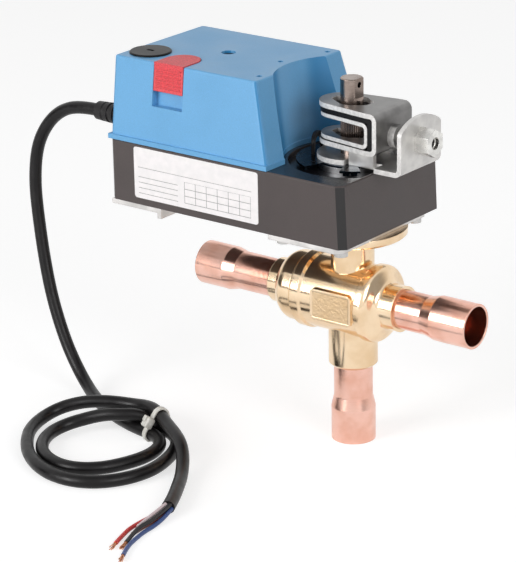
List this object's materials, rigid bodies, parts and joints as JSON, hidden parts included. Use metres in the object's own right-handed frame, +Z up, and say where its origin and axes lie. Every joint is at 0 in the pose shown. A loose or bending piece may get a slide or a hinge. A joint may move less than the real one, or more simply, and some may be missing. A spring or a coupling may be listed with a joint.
{
  "type": "motorized three-way ball valve",
  "caption": "Brass three-way ball valve with copper tube ends, turned by an electric quarter-turn actuator through a shaft clamp, with a coiled cable.",
  "frame": {"origin": "centre of the lower copper tube's mouth, on the shaft axis", "axes": "+Z up the valve shaft, +X along the run towards the clamp bolt, -Y towards the actuator's front"},
  "size_m": [0.2149, 0.1763, 0.1544],
  "materials": {
    "brass": "polished",
    "copper": "satin",
    "polished_steel": "polished",
    "ptfe": "satin",
    "seal_rubber": "matte",
    "turned_steel": "turned",
    "zinc_steel": "satin zinc",
    "black_plastic": "fine grain",
    "blue_plastic": "smooth moulded",
    "red_plastic": "smooth moulded",
    "gear_plastic": "moulded",
    "motor_steel": "drawn",
    "board_green": "lacquered",
    "cable_black": "matte sheath",
    "tie_nylon": "translucent",
    "wire_red": "insulation",
    "wire_grey": "insulation",
    "wire_black": "insulation",
    "wire_blue": "insulation",
    "wire_brown": "insulation"
  },
  "bodies": {
    "valve_and_housing": {"valve_body": "brass", "end_connector": "brass", "gland_nut": "brass", "bonnet_flange": "brass", "run_tube_left": "copper", "run_tube_right": "copper", "branch_tube": "copper", "seat_left": "ptfe", "seat_right": "ptfe", "idler_axle": "turned_steel", "flange_screws": "zinc_steel", "mounting_plate": "zinc_steel", "plate_screws": "zinc_steel", "left_bracket": "zinc_steel", "bracket_screws": "zinc_steel", "gear_plate": "zinc_steel", "adjust_screw": "zinc_steel", "cover_screws": "zinc_steel", "gearbox_housing": "black_plastic", "cable_gland": "black_plastic", "top_cover": "blue_plastic", "disc_plug": "blue_plastic", "motor": "motor_steel", "circuit_board": "board_green", "cable_drop": "cable_black", "cable_coil": "cable_black", "cable_tail": "cable_black", "cable_tie": "tie_nylon", "conductor_red": "wire_red", "conductor_grey": "wire_grey", "conductor_black": "wire_black", "conductor_blue": "wire_blue", "conductor_brown": "wire_brown"},
    "shaft": {"valve_shaft": "turned_steel", "ball": "polished_steel", "stem_seals": "seal_rubber", "drive_hub": "turned_steel", "output_gear": "gear_plastic", "indicator_plate": "zinc_steel", "clamp_base": "zinc_steel", "clamp_yoke": "zinc_steel", "clamp_insert": "zinc_steel", "clamp_liner": "black_plastic", "clamp_bolt": "zinc_steel", "clamp_pointer": "black_plastic"},
    "idler": {"idler_gear": "gear_plastic"},
    "motor_rotor": {"motor_pinion": "turned_steel"},
    "release": {"release_slider": "red_plastic"}
  },
  "joints": [
    {"name": "valve_turn", "type": "hinge", "parent": "valve_and_housing", "child": "shaft", "pos_m": [0, 0, 0.1], "axis": [0, 0, 1], "range_deg": [-90, 0]},
    {"name": "idler_turn", "type": "hinge", "parent": "valve_and_housing", "child": "idler", "pos_m": [-0.028, 0, 0.1], "axis": [0, 0, 1], "range_deg": [0, 330.5]},
    {"name": "motor_turn", "type": "hinge", "parent": "valve_and_housing", "child": "motor_rotor", "pos_m": [-0.048, 0, 0.1], "axis": [0, 0, 1], "range_deg": [-1321, 0]},
    {"name": "release_slide", "type": "slide", "parent": "valve_and_housing", "child": "release", "axis": [0, -0.1251, -0.9921], "range_m": [0, 0.006], "stiffness_N_per_m": 200, "springref_m": -0.01}
  ],
  "couplings": [
    {"joint": "idler_turn", "follows": "valve_turn", "ratio": -3.6667},
    {"joint": "motor_turn", "follows": "valve_turn", "ratio": 14.667}
  ]
}
